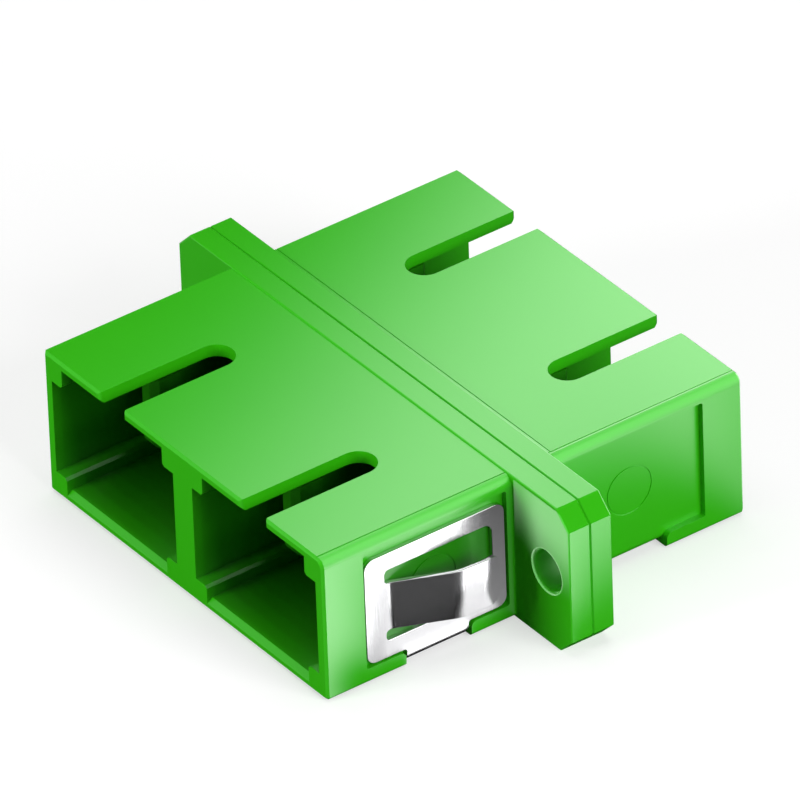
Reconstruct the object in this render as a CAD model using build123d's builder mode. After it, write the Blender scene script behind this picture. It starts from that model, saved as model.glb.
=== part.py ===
from build123d import *
import os

# Duplex fibre optic adapter with a spring-steel panel clip, in millimetres.
# X runs across the two ports and Z is up. Y runs along the plugs, with the
# clipped half towards -Y. The origin is at the bottom centre, on the seam.

# Ports
port_pitch = 12.7
port_width = 11.0
port_height = 7.45
floor_thickness = 0.7
guide_width = 9.1
bottom_rib_height = 0.78
top_rib_height = 0.85
rib_corner_cut = 0.15
mouth_lead_in = 0.3

# Moulded halves
body_width = 25.0
body_height = 8.9
half_length = 13.7
right_edge_radius = 0.55
bottom_edge_radius = 0.25
mouth_edge_bevel = 0.15

# Flange with its ears
flange_half_thickness = 1.4
flange_step = 0.1
ear_corner_cut = 1.05
flange_edge_radius = 0.1
seam_bevel = 0.08
screw_spacing = 30.7
ear_margin = 2.05
screw_hole_radius = 1.2
screw_hole_bevel = 0.15

# Keyways in the roof
keyway_width = 2.15
keyway_end = 5.8
keyway_flare_radius = 0.25

# Parting lines left by the mould's roof plate, as fine grooves
parting_inset = 0.6
parting_gap = 0.17
parting_width = 0.06
parting_depth = 0.03

# Locating peg on each half's seam face, which enters a hole in the other half
peg_radius = 0.4
peg_length = 0.8
peg_play = 0.04
peg_inset = 0.8

# Panel clip
clip_sheet = 0.3
clip_inset = 0.08
clip_near = 1.9
clip_far = 11.0
clip_bottom = 1.1
clip_top = 7.65
clip_corner_radius = 0.6
strap_near = 4.4
strap_far = 8.45
strap_fold_radius = 0.18
strap_bend_radius = 0.5
window_near = 2.75
window_far = 9.7
window_bottom = 2.15
window_top = 6.6
window_corner_radius = 0.5
tongue_bottom = 2.8
tongue_top = 5.75
tongue_root = 9.3
tongue_rise = 1.5
tongue_swell = 0.12
tongue_crest_far = 5.9
tongue_crest_near = 4.2
tongue_tip = 3.35
tongue_tip_drop = 0.25
tongue_bend_radius = 0.5
tongue_tip_radius = 0.65
slot_end_radius = 0.25

# Pocket and channel that the clip lies in
clip_play = 0.1
pocket_headroom = 0.65
pocket_corner_radius = 0.15
notch_corner_radius = 0.35
ejector_mark_radius = 1.5
ejector_mark_width = 0.1
ejector_mark_depth = 0.05

# Alignment sleeves
ferrule_radius = 1.25
sleeve_wall = 0.35
sleeve_length = 11.4
sleeve_slot = 0.5

# Latch inserts
insert_play = 0.05
plate_thickness = 1.8
plate_corner_radius = 0.3
holder_wall = 0.65
sleeve_play = 0.05
sleeve_end_play = 0.1
lip_thickness = 0.6
lip_play = 0.2
lip_lead_in = 0.25
arm_outer = 3.8
arm_thickness = 0.65
arm_height = 4.4
arm_reach = 9.1
hook_depth = 0.4
hook_length = 1.85
hook_nose = 0.4
hook_back_slope = 0.1
arm_tip_radius = 0.5
arm_root_radius = 0.35
insert_pin_radius = 0.4
insert_pin_length = 0.7
insert_pin_spread = 8.6

# Heights and places that follow from the sizes above
body_bottom = flange_step
body_middle = body_bottom + body_height / 2
flange_height = body_height + 2 * flange_step
flange_width = screw_spacing + 2 * ear_margin
port_floor = body_bottom + floor_thickness
port_roof = port_floor + port_height
port_axis = port_floor + port_height / 2
port_centres = (-port_pitch / 2, port_pitch / 2)
side_face = body_width / 2
pocket_depth = clip_sheet + clip_inset
pocket_floor = side_face - pocket_depth
pocket_near = clip_near - clip_play
pocket_far = clip_far + clip_play
pocket_bottom = clip_bottom - clip_play
pocket_top = clip_top + pocket_headroom
channel_near = strap_near - clip_play
channel_far = strap_far + clip_play
channel_floor = body_bottom + clip_sheet
rib_width = (port_width - guide_width) / 2
rib_start = plate_thickness + insert_play
roof_level = body_bottom + body_height
parting_floor = roof_level - parting_depth
parting_x = side_face - parting_inset
parting_y = flange_half_thickness + parting_gap
peg_x = side_face + peg_inset
cut_past = 1.0
pick = 0.01

parts_folder = "parts"


def sheet_path(points, radius):
    """A strip of sheet metal seen edge on: a bent line, thickened to one side."""
    with BuildLine() as outline:
        FilletPolyline(*points, radius=radius)
        offset(amount=clip_sheet, side=Side.RIGHT)
    make_face(outline.edges())


def corner_rib(wall_x, wall_z, width, height):
    """A rib's section in one corner of a port, with its free corner cut off."""
    cut_x = rib_corner_cut if width > 0 else -rib_corner_cut
    cut_z = rib_corner_cut if height > 0 else -rib_corner_cut
    with BuildLine() as outline:
        Polyline(
            (wall_x, wall_z),
            (wall_x + width, wall_z),
            (wall_x + width, wall_z + height - cut_z),
            (wall_x + width - cut_x, wall_z + height),
            (wall_x, wall_z + height),
            close=True,
        )
    make_face(outline.edges())


def keyway_outline(centre_x):
    """A keyway in plan: flared at the mouth, straight, and round at its end."""
    half = keyway_width / 2
    flare = keyway_flare_radius
    mouth = -half_length
    with BuildLine() as outline:
        left_flare = JernArc((centre_x - half - flare, mouth), (1, 0), flare, 90)
        left_side = Line(left_flare @ 1, (centre_x - half, -keyway_end - half))
        right_side_top = (centre_x + half, -keyway_end - half)
        ThreePointArc(left_side @ 1, (centre_x, -keyway_end), right_side_top)
        right_side = Line(right_side_top, (centre_x + half, mouth + flare))
        right_flare = JernArc(right_side @ 1, (0, -1), flare, 90)
        Polyline(
            right_flare @ 1,
            (centre_x + half + flare, mouth - cut_past),
            (centre_x - half - flare, mouth - cut_past),
            left_flare @ 0,
        )
    make_face(outline.edges())


# What both halves share: flange, body, ports, keyways, and the clip's pockets and channel
with BuildPart() as moulded_half:
    # Half of the flange, its outer edges rounded and its seam edge bevelled
    with BuildSketch(Plane.XZ):
        with Locations((0, flange_height / 2)):
            Rectangle(flange_width, flange_height)
        chamfer(vertices(), ear_corner_cut)
    extrude(amount=flange_half_thickness)
    fillet(faces().sort_by(Axis.Y)[0].edges(), flange_edge_radius)
    chamfer(faces().sort_by(Axis.Y)[-1].edges(), seam_bevel)

    # Body block with rounded long edges, all but the left upper one, and a bevelled mouth
    with BuildSketch(Plane.XZ):
        with Locations((0, body_middle)):
            Rectangle(body_width, body_height)
        fillet(vertices().group_by(Axis.Y)[0], bottom_edge_radius)
        fillet(vertices().group_by(Axis.Y)[-1].sort_by(Axis.X)[-1], right_edge_radius)
    extrude(amount=half_length)
    chamfer(faces().sort_by(Axis.Y)[0].edges(), mouth_edge_bevel)

    # Two ports right through
    with BuildSketch(Plane.XZ):
        with Locations(*[(x, port_axis) for x in port_centres]):
            Rectangle(port_width, port_height)
    extrude(amount=half_length, mode=Mode.SUBTRACT)

    # Guide ribs in the ports' corners, which also trap the latch inserts
    with BuildSketch(Plane.XZ.offset(rib_start)):
        for centre_x in port_centres:
            for side in (-1, 1):
                wall_x = centre_x + side * port_width / 2
                corner_rib(wall_x, port_floor, -side * rib_width, bottom_rib_height)
                corner_rib(wall_x, port_roof, -side * rib_width, -top_rib_height)
    extrude(amount=half_length - rib_start)

    # Lead-in bevels on the floor and roof of each mouth
    for centre_x in port_centres:
        with BuildSketch(Plane.YZ.offset(centre_x)):
            with BuildLine():
                Polyline(
                    (-half_length, port_floor - mouth_lead_in),
                    (-half_length, port_roof + mouth_lead_in),
                    (-half_length + mouth_lead_in, port_roof),
                    (-half_length + mouth_lead_in, port_floor),
                    close=True,
                )
            make_face()
        extrude(amount=guide_width / 2, both=True, mode=Mode.SUBTRACT)

    # Keyways through the roof
    with BuildSketch(Plane.XY.offset(port_axis)):
        for centre_x in port_centres:
            keyway_outline(centre_x)
    extrude(amount=body_height, mode=Mode.SUBTRACT)

    # Side pockets, each with a notch in its lower rim and a round ejector mark
    for side in (-1, 1):
        with BuildSketch(Plane.YZ.offset(side * side_face)):
            with Locations((-(pocket_near + pocket_far) / 2, (pocket_bottom + pocket_top) / 2)):
                Rectangle(pocket_far - pocket_near, pocket_top - pocket_bottom)
            fillet(vertices(), pocket_corner_radius)
            with Locations((-(channel_near + channel_far) / 2, pocket_bottom / 2)):
                Rectangle(channel_far - channel_near, pocket_bottom)
            rim_corners = (
                vertices()
                .filter_by_position(Axis.Y, pocket_bottom - pick, pocket_bottom + pick)
                .filter_by_position(Axis.X, -channel_far - pick, -channel_near + pick)
            )
            fillet(rim_corners, notch_corner_radius)
        extrude(amount=-side * pocket_depth, mode=Mode.SUBTRACT)
        with BuildSketch(Plane.YZ.offset(side * pocket_floor)):
            with Locations((-(strap_near + strap_far) / 2, body_middle)):
                Circle(ejector_mark_radius)
                Circle(ejector_mark_radius - ejector_mark_width, mode=Mode.SUBTRACT)
        extrude(amount=-side * ejector_mark_depth, mode=Mode.SUBTRACT)

    # Channel across the bottom for the clip's strap, its two ends rounded over
    with BuildSketch(Plane.XY):
        with Locations((0, -(channel_near + channel_far) / 2)):
            Rectangle(body_width, channel_far - channel_near)
    extrude(amount=channel_floor, mode=Mode.SUBTRACT)
    strap_corners = (
        edges()
        .filter_by(Axis.Y)
        .filter_by_position(Axis.Z, channel_floor - pick, channel_floor + pick)
        .filter_by_position(Axis.Y, -channel_far, -channel_near)
    )
    fillet(strap_corners, strap_bend_radius)

    # Screw holes in the ears, bevelled on the outer face
    with BuildSketch(Plane.XZ):
        with GridLocations(screw_spacing, flange_height, 2, 1):
            with Locations((0, flange_height / 2)):
                Circle(screw_hole_radius)
    extrude(amount=flange_half_thickness, mode=Mode.SUBTRACT)
    screw_rims = (
        edges()
        .filter_by(GeomType.CIRCLE)
        .filter_by(lambda edge: abs(edge.radius - screw_hole_radius) < pick)
        .group_by(Axis.Y)[0]
    )
    chamfer(screw_rims, screw_hole_bevel)

    # Parting line along the roof, beside its rounded right edge
    with BuildSketch(Plane.XY.offset(parting_floor)):
        with Locations((parting_x, -(flange_half_thickness + half_length) / 2)):
            Rectangle(parting_width, half_length - flange_half_thickness)
    extrude(amount=cut_past, mode=Mode.SUBTRACT)

# Front half: a peg on the left ear, and a hole for the other half's peg in the right ear
with BuildPart() as front_housing:
    add(moulded_half.part)
    with BuildSketch(Plane.XZ):
        with Locations((peg_x, flange_height / 2)):
            Circle(peg_radius + peg_play)
    extrude(amount=peg_length + peg_play, mode=Mode.SUBTRACT)
    with BuildSketch(Plane.XZ):
        with Locations((-peg_x, flange_height / 2)):
            Circle(peg_radius)
    extrude(amount=-peg_length)

# Rear half: the shared moulding mirrored, its peg and hole the other way round
with BuildPart() as rear_housing:
    mirror(moulded_half.part, about=Plane.XZ)
    with BuildSketch(Plane.XZ):
        with Locations((-peg_x, flange_height / 2)):
            Circle(peg_radius + peg_play)
    extrude(amount=-(peg_length + peg_play), mode=Mode.SUBTRACT)
    with BuildSketch(Plane.XZ):
        with Locations((peg_x, flange_height / 2)):
            Circle(peg_radius)
    extrude(amount=peg_length)

    # Parting line across the roof, just behind the flange
    with BuildSketch(Plane.XY.offset(parting_floor)):
        with Locations(((parting_x - side_face) / 2, parting_y)):
            Rectangle(parting_x + side_face, parting_width)
    extrude(amount=cut_past, mode=Mode.SUBTRACT)

# Latch insert: base plate, sleeve holder and two sprung arms, on its port's own axis
with BuildPart() as latch_insert:
    plate_width = port_width - 2 * insert_play
    plate_height = port_height - 2 * insert_play
    holder_bore = ferrule_radius + sleeve_wall + sleeve_play
    holder_depth = sleeve_length / 2 + sleeve_end_play
    arm_inner = arm_outer - arm_thickness
    hook_inner = arm_inner - hook_depth

    with BuildSketch(Plane.XZ):
        RectangleRounded(plate_width, plate_height, plate_corner_radius)
    extrude(amount=plate_thickness)

    # Arms in plan: a straight shank with a hook turned inwards, its nose sloped
    with BuildSketch(Plane.XY):
        with BuildLine():
            Polyline(
                (arm_outer, -plate_thickness),
                (arm_outer, -arm_reach),
                (arm_inner, -arm_reach),
                (hook_inner, -arm_reach + hook_nose),
                (hook_inner, -arm_reach + hook_length),
                (arm_inner, -arm_reach + hook_length + hook_back_slope),
                (arm_inner, -plate_thickness),
                close=True,
            )
        make_face()
        mirror(about=Plane.YZ)
    extrude(amount=arm_height / 2, both=True)
    arm_tips = edges().filter_by(Axis.X).group_by(Axis.Y)[0]
    fillet(arm_tips, arm_tip_radius)
    arm_roots = (
        edges()
        .filter_by(Axis.Z)
        .filter_by_position(Axis.Y, -plate_thickness - pick, -plate_thickness + pick)
        .filter_by_position(Axis.X, -arm_outer - pick, arm_outer + pick)
    )
    fillet(arm_roots, arm_root_radius)

    # Sleeve holder with a lip at its end that keeps the sleeve in
    with BuildSketch(Plane.XZ.offset(plate_thickness)):
        Circle(holder_bore + holder_wall)
    extrude(amount=holder_depth + lip_thickness - plate_thickness)
    with BuildSketch(Plane.XZ):
        Circle(holder_bore)
    extrude(amount=holder_depth, mode=Mode.SUBTRACT)
    with BuildSketch(Plane.XZ.offset(holder_depth)):
        Circle(ferrule_radius + lip_play)
    extrude(amount=lip_thickness, mode=Mode.SUBTRACT)
    lip_rim = (
        edges()
        .filter_by(GeomType.CIRCLE)
        .filter_by(lambda edge: abs(edge.radius - ferrule_radius - lip_play) < pick)
        .sort_by(Axis.Y)[0]
    )
    chamfer(lip_rim, lip_lead_in)

    # A pin on one side of the back face, and a hole for the mating insert's pin on the other
    with BuildSketch(Plane.XZ):
        with Locations((insert_pin_spread / 2, 0)):
            Circle(insert_pin_radius + peg_play)
    extrude(amount=insert_pin_length + peg_play, mode=Mode.SUBTRACT)
    with BuildSketch(Plane.XZ):
        with Locations((-insert_pin_spread / 2, 0)):
            Circle(insert_pin_radius)
    extrude(amount=-insert_pin_length)

# Alignment sleeve: a thin split tube on its port's own axis, its slot upwards
with BuildPart() as alignment_sleeve:
    with BuildSketch(Plane.XZ):
        Circle(ferrule_radius + sleeve_wall)
        Circle(ferrule_radius, mode=Mode.SUBTRACT)
        with Locations((0, ferrule_radius + sleeve_wall)):
            Rectangle(sleeve_slot, 2 * (sleeve_wall + sleeve_slot), mode=Mode.SUBTRACT)
    extrude(amount=sleeve_length / 2, both=True)

# Panel clip: a strap under the body, and a windowed plate with a sprung tongue each side
with BuildPart() as panel_clip:
    # Strap, bent up round both bottom corners
    wrap_top = (clip_bottom + window_bottom) / 2
    with BuildSketch(Plane.XZ.offset(strap_near)):
        sheet_path(
            [
                (-pocket_floor, wrap_top),
                (-pocket_floor, channel_floor),
                (pocket_floor, channel_floor),
                (pocket_floor, wrap_top),
            ],
            strap_bend_radius,
        )
    extrude(amount=strap_far - strap_near)

    # Side plate with its window, whose two far slots run past the tongue's root
    with BuildSketch(Plane.YZ.offset(pocket_floor)):
        with Locations((-(clip_near + clip_far) / 2, (clip_bottom + clip_top) / 2)):
            RectangleRounded(clip_far - clip_near, clip_top - clip_bottom, clip_corner_radius)
        with Locations((-(window_near + window_far) / 2, (window_bottom + window_top) / 2)):
            Rectangle(
                window_far - window_near,
                window_top - window_bottom,
                mode=Mode.SUBTRACT,
            )
        window_corners = vertices().filter_by_position(
            Axis.X, -window_near - pick, -window_near + pick
        )
        fillet(window_corners, window_corner_radius)
        with Locations((-(tongue_root + window_far) / 2, (tongue_bottom + tongue_top) / 2)):
            Rectangle(window_far - tongue_root, tongue_top - tongue_bottom)
        slot_ends = vertices().filter_by_position(
            Axis.X, -window_far - pick, -window_far + pick
        )
        fillet(slot_ends, slot_end_radius)
    extrude(amount=clip_sheet)

    # Sprung tongue, rooted at the window's far edge, ramped out and curled back in
    with BuildSketch(Plane.XY.offset(tongue_bottom)):
        crest = pocket_floor + tongue_rise
        peak = crest + tongue_swell
        sheet_path(
            [
                (pocket_floor, -window_far),
                (pocket_floor, -tongue_root),
                (crest, -tongue_crest_far),
                (peak, -tongue_crest_near),
                (peak - tongue_tip_drop, -tongue_tip),
            ],
            tongue_bend_radius,
        )
    extrude(amount=tongue_top - tongue_bottom)
    tongue_tips = (
        edges()
        .filter_by(lambda edge: abs(edge.length - clip_sheet) < pick)
        .filter_by_position(Axis.X, side_face, side_face + tongue_rise)
        .filter_by_position(Axis.Y, -tongue_tip - clip_sheet, -tongue_tip + clip_sheet)
    )
    fillet(tongue_tips, tongue_tip_radius)
    mirror(about=Plane.YZ)

    # Folds where the strap's edges meet the plates' lower edges
    strap_folds = (
        edges()
        .filter_by(Axis.X)
        .filter_by_position(Axis.Z, clip_bottom - pick, clip_bottom + pick)
        .filter_by_position(Axis.Y, -strap_far - pick, -strap_near + pick)
    )
    fillet(strap_folds, strap_fold_radius)

front_housing.part.label = "front_housing"
rear_housing.part.label = "rear_housing"
panel_clip.part.label = "panel_clip"

os.makedirs(parts_folder, exist_ok=True)
export_step(front_housing.part, f"{parts_folder}/front_housing.step")
export_step(rear_housing.part, f"{parts_folder}/rear_housing.step")
export_step(panel_clip.part, f"{parts_folder}/panel_clip.step")

# The inserts and sleeves repeat: one sleeve and two facing inserts in each port
for side_name, centre_x in zip(("left", "right"), port_centres):
    seat = Pos(centre_x, 0, port_axis)
    sleeve = seat * alignment_sleeve.part
    sleeve.label = f"{side_name}_sleeve"
    export_step(sleeve, f"{parts_folder}/{sleeve.label}.step")
    for end_name, turn in (("front", 0), ("rear", 180)):
        insert = seat * Rot(0, 0, turn) * latch_insert.part
        insert.label = f"{end_name}_{side_name}_latch"
        export_step(insert, f"{parts_folder}/{insert.label}.step")
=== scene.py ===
# %% [markdown]
# # A duplex fibre optic adapter
# The adapter joins two pairs of optical plugs through a patch panel. Two green
# mouldings meet at a flange, a folded spring-steel clip hugs the front one, and
# each port holds sprung latches and a ceramic sleeve. This lesson dresses the
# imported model: it rounds the mouldings' edges, folds the clip from its flat
# blank, gives every surface its finish, and sets the light and the camera.

# %% Load the frame and note its box
import math

import bmesh
import bpy
import numpy as np
from mathutils import Matrix, Vector


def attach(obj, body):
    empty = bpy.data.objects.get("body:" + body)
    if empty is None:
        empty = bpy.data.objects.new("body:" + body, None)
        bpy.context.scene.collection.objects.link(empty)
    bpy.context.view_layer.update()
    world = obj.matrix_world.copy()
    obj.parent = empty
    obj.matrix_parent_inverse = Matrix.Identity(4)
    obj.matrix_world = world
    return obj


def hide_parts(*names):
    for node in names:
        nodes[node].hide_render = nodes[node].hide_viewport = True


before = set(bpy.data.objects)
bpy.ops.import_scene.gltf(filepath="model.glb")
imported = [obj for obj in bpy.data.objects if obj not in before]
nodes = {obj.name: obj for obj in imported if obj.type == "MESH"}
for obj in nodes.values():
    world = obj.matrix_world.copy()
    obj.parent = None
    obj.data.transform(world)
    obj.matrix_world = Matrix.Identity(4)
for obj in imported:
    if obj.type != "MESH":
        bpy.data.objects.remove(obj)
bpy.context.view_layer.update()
MM = 0.001
scene = bpy.context.scene
print("nodes:", ", ".join(sorted(nodes)))

# %% [markdown]
# ## The camera
# The photograph was taken from a good distance with a long lens, so its lines
# hardly converge. A camera could be given its place and three angles by hand.
# It is easier to say where it looks from, how far away it stands, and which
# point lies in the middle of the picture. A real tripod is never quite level,
# so the camera is also rolled by a couple of degrees.

# %% Place the camera
VIEW_AZIMUTH = math.radians(54.885)
VIEW_ELEVATION = math.radians(34.586)
VIEW_ROLL = math.radians(-2.20)
VIEW_DISTANCE = 863.87 * MM
VIEW_LENS = 731.95
VIEW_NEAREST, VIEW_FARTHEST = 0.01, 10.0
PICTURE_MIDDLE = np.array([-2.263, 2.042, 4.488]) * MM


def camera_axes(azimuth, elevation, roll):
    """The camera's right, up and backward directions.

    Backward is the unit vector towards the camera: its height is the sine of
    the elevation, and the cosine is shared out by the azimuth. Right is level.
    The roll then turns right and up together about the backward direction.
    """
    back = np.array([
        math.sin(azimuth) * math.cos(elevation),
        -math.cos(azimuth) * math.cos(elevation),
        math.sin(elevation),
    ])
    level = np.array([math.cos(azimuth), math.sin(azimuth), 0.0])
    upright = np.cross(back, level)
    right = math.cos(roll) * level + math.sin(roll) * upright
    up = np.cross(back, right)
    return right, up, back


view_right, view_up, view_back = camera_axes(VIEW_AZIMUTH, VIEW_ELEVATION, VIEW_ROLL)
camera_data = bpy.data.cameras.new("camera")
camera_data.lens = VIEW_LENS
camera_data.clip_start = VIEW_NEAREST
camera_data.clip_end = VIEW_FARTHEST
camera = bpy.data.objects.new("camera", camera_data)
scene.collection.objects.link(camera)
turn = Matrix(np.column_stack([view_right, view_up, view_back]).tolist()).to_4x4()
camera.matrix_world = Matrix.Translation((PICTURE_MIDDLE + VIEW_DISTANCE * view_back).tolist()) @ turn
scene.camera = camera
print("camera stands at", np.round(np.array(camera.location), 4))

# %% [markdown]
# ## Helpers for materials
# A finish is a small graph of nodes. It could be drawn by hand in the shader
# editor, but a script can be read and run again. These helpers keep the graphs
# short: the first ones add a node, start a material and put it on a piece.

# %% Start a material
BLACK = (0.0, 0.0, 0.0, 1.0)
WHITE = (1.0, 1.0, 1.0, 1.0)


def add_node(tree, kind, inputs=None, **settings):
    """Adds a node of a kind, with its settings and its inputs' values or links."""
    node = tree.nodes.new(kind)
    for name, value in settings.items():
        setattr(node, name, value)
    for name, value in (inputs or {}).items():
        if isinstance(value, bpy.types.NodeSocket):
            tree.links.new(value, node.inputs[name])
        else:
            node.inputs[name].default_value = value
    return node


def new_finish(name, **principled):
    """A material with only its main shader, whose even values sit on its own sockets."""
    material = bpy.data.materials.new(name)
    material.use_nodes = True
    shader = material.node_tree.nodes["Principled BSDF"]
    for socket, value in principled.items():
        shader.inputs[socket.replace("_", " ")].default_value = value
    return material, material.node_tree, shader


def dress(piece, material):
    """Puts one finish on a piece, in place of what it had."""
    piece.data.materials.clear()
    piece.data.materials.append(material)


print("a finish is started, given its nodes and put on")

# %% [markdown]
# The rest of them do what every finish here needs: a random pattern, a range
# that it is stretched to, a colour between two shades, and a fine relief. The
# relief is a bump and not real geometry, because it is finer than the light's
# own blur on these surfaces.

# %% Pattern, range, colour and relief
MIX_FIRST, MIX_SECOND, MIX_RESULT = 6, 7, 2
RELIEF_DEPTH = 0.01 * MM


def noise(tree, place, scale, detail=2.0, roughness=0.5):
    """A soft random pattern between nought and one. A larger scale makes it finer."""
    texture = add_node(tree, "ShaderNodeTexNoise", {
        "Vector": place, "Scale": scale, "Detail": detail, "Roughness": roughness})
    return texture.outputs["Fac"]


def ranged(tree, value, low, high, value_low=0.0, value_high=1.0):
    """Low where the value is at its low end, high at its high end, and straight between."""
    stretched = add_node(tree, "ShaderNodeMapRange", {
        "Value": value, "From Min": value_low, "From Max": value_high, "To Min": low, "To Max": high})
    return stretched.outputs["Result"]


def colour_between(tree, shader, share, first, second):
    """The shader's colour: the first shade where the share is nought, the second at one."""
    mix = add_node(tree, "ShaderNodeMix", {"Factor": share}, data_type="RGBA")
    mix.inputs[MIX_FIRST].default_value = first
    mix.inputs[MIX_SECOND].default_value = second
    tree.links.new(mix.outputs[MIX_RESULT], shader.inputs["Base Color"])


def relief(tree, shader, height, strength):
    """Tilts the shader's normals as a fine relief of this height pattern would."""
    bump = add_node(tree, "ShaderNodeBump", {"Height": height, "Strength": strength, "Distance": RELIEF_DEPTH})
    tree.links.new(bump.outputs["Normal"], shader.inputs["Normal"])


print("relief is", RELIEF_DEPTH / MM, "mm deep")

# %% [markdown]
# ## Rounding the mouldings
# No moulded edge is truly sharp: molten plastic never quite fills a corner of
# the steel. The edges left sharp in the solids are rounded here by a bevel of a
# few hundredths of a millimetre, so that each edge catches a thin line of
# light. The bevel could go on every edge, but it would eat the fine parting
# lines and ejector rings, which are narrower than it. So each edge gets a
# weight, and those get none.

# %% Find the fine details
LINE_REACH = 0.1 * MM
EJECTOR_REACH = 0.4 * MM
PARTING_X = 11.9 * MM
PARTING_Y = 1.57 * MM
ROOF_LEVEL = 8.9 * MM
EJECTOR_RADIUS = 1.5 * MM
EJECTOR_Y = 6.425 * MM
EJECTOR_Z = 4.55 * MM
POCKET_FLOOR_X = 12.12 * MM


def fine_detail(middles):
    """Which edges belong to a parting line or an ejector ring, from their middles.

    A parting line lies just under the roof, on one of two straight lines. A
    ring's edges lie close to the pocket's floor, at about its radius from its
    centre.
    """
    x, y, z = middles.T
    on_roof = z > ROOF_LEVEL
    along = on_roof & (np.abs(x - PARTING_X) < LINE_REACH)
    across = on_roof & (np.abs(y - PARTING_Y) < LINE_REACH)
    on_pocket_floor = np.abs(np.abs(x) - POCKET_FLOOR_X) < LINE_REACH
    radius = np.hypot(np.abs(y) - EJECTOR_Y, z - EJECTOR_Z)
    ring = on_pocket_floor & (np.abs(radius - EJECTOR_RADIUS) < EJECTOR_REACH)
    return along | across | ring


print("ejector rings are", 2 * EJECTOR_RADIUS / MM, "mm wide")

# %% [markdown]
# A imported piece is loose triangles, and it stays as it is. A copy is welded
# first, and triangles that lie in one plane are joined again, so that the bevel
# meets whole edges. The weighted normals keep the large faces flat beside it.

# %% Weld and round the two mouldings
WELD_DISTANCE = 1e-6
FLAT_ANGLE = math.radians(1.0)
SHARP_ANGLE = math.radians(28.0)
MOULD_EDGE = 0.07 * MM
EDGE_STEPS = 2


def even_shading(piece):
    """Weighs each normal by the faces' areas, so that flat faces shade flat beside a bevel."""
    weigh = piece.modifiers.new("even shading", "WEIGHTED_NORMAL")
    weigh.mode = "FACE_AREA"
    weigh.keep_sharp = True


def welded_mesh(node, name):
    """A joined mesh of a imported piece, with a bevel weight of one on each sharp edge."""
    mesh = bpy.data.meshes.new(name)
    build = bmesh.new()
    build.from_mesh(node.data)
    bmesh.ops.remove_doubles(build, verts=build.verts, dist=WELD_DISTANCE)
    bmesh.ops.dissolve_limit(build, angle_limit=FLAT_ANGLE, verts=build.verts, edges=build.edges)
    middles = np.array([(edge.verts[0].co + edge.verts[1].co) / 2 for edge in build.edges])
    angles = np.array([edge.calc_face_angle(0.0) for edge in build.edges])
    weights = ((angles > SHARP_ANGLE) & ~fine_detail(middles)).astype(float)
    layer = build.edges.layers.float.new("bevel_weight_edge")
    for edge, weight in zip(build.edges, weights):
        edge[layer] = weight
    build.to_mesh(mesh)
    build.free()
    mesh.shade_smooth()
    mesh.set_sharp_from_angle(angle=SHARP_ANGLE)
    print(name, "faces:", len(mesh.polygons), "bevelled edges:", int(weights.sum()))
    return mesh


def rounded_copy(node, name):
    """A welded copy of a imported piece, in its place, with its sharp edges rounded."""
    piece = bpy.data.objects.new(name, welded_mesh(node, name))
    scene.collection.objects.link(piece)
    bevel = piece.modifiers.new("rounding", "BEVEL")
    bevel.limit_method = "WEIGHT"
    bevel.width = MOULD_EDGE
    bevel.segments = EDGE_STEPS
    even_shading(piece)
    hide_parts(node.name)
    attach(piece, "root")
    return piece


front_moulding = rounded_copy(nodes["front_housing"], "front_moulding")
rear_moulding = rounded_copy(nodes["rear_housing"], "rear_moulding")

# %% [markdown]
# ## The panel clip
# The clip is one piece of spring steel sheet. A press cuts its flat blank, with
# a U-shaped slot on each side, and folds it: two bends make the strap and its
# plates, and smaller ones lift each tongue out of its window. It could be
# extruded in pieces, but then a bend would not keep its length. Here the blank
# is filled flat, cut along its bend lines, and folded by carrying each point
# along a bent path by the distance that it has on the flat sheet.

# %% Helpers for bent paths
ARC_STEPS = 8
SHORTEST_STEP = 1e-6


def rounded_path(corners, radii):
    """A path in a plane whose corners are rounded by arcs.

    An arc leaves each side at the radius over the tangent of half the corner's
    angle. Its centre lies on the corner's halving line, at the radius over the
    sine of that half angle, and its points turn evenly from side to side. A
    corner of radius nought stays one point.
    """
    corners = np.array(corners, dtype=float)
    radii = np.array(radii, dtype=float)[:, None]
    before = np.roll(corners, 1, axis=0) - corners
    after = np.roll(corners, -1, axis=0) - corners
    before /= np.linalg.norm(before, axis=1, keepdims=True)
    after /= np.linalg.norm(after, axis=1, keepdims=True)
    half = np.arccos(np.clip((before * after).sum(axis=1), -1.0, 1.0))[:, None] / 2
    halving = (before + after) / np.linalg.norm(before + after, axis=1, keepdims=True)
    centres = corners + halving * radii / np.sin(half)
    first = corners + before * radii / np.tan(half) - centres
    last = corners + after * radii / np.tan(half) - centres
    turned = (math.pi - 2 * half)[:, None, :]
    share = np.linspace(0.0, 1.0, ARC_STEPS + 1)[None, :, None]
    points = centres[:, None] + (first[:, None] * np.sin((1 - share) * turned)
                                 + last[:, None] * np.sin(share * turned)) / np.sin(turned)
    points = points.reshape(-1, 2)
    step = np.linalg.norm(points - np.roll(points, 1, axis=0), axis=1)
    return points[step > SHORTEST_STEP]


def distances(path):
    """The distance along a path at each of its points: its steps' lengths, added up."""
    steps = np.linalg.norm(np.diff(path, axis=0), axis=1)
    return np.concatenate([[0.0], np.cumsum(steps)])


def carry(path, along):
    """The points of a path at these distances along it."""
    marks = distances(path)
    return np.column_stack([np.interp(along, marks, path[:, 0]), np.interp(along, marks, path[:, 1])])


print("an arc is made of", ARC_STEPS, "steps")

# %% [markdown]
# Two paths say how the sheet is bent. One is the clip seen from the front: half
# of the strap, the bend, and the plate. The other is a tongue seen from above:
# it rises from its root, bows over a crest and dips again at the tip. Their
# lengths give the flat blank.

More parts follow.
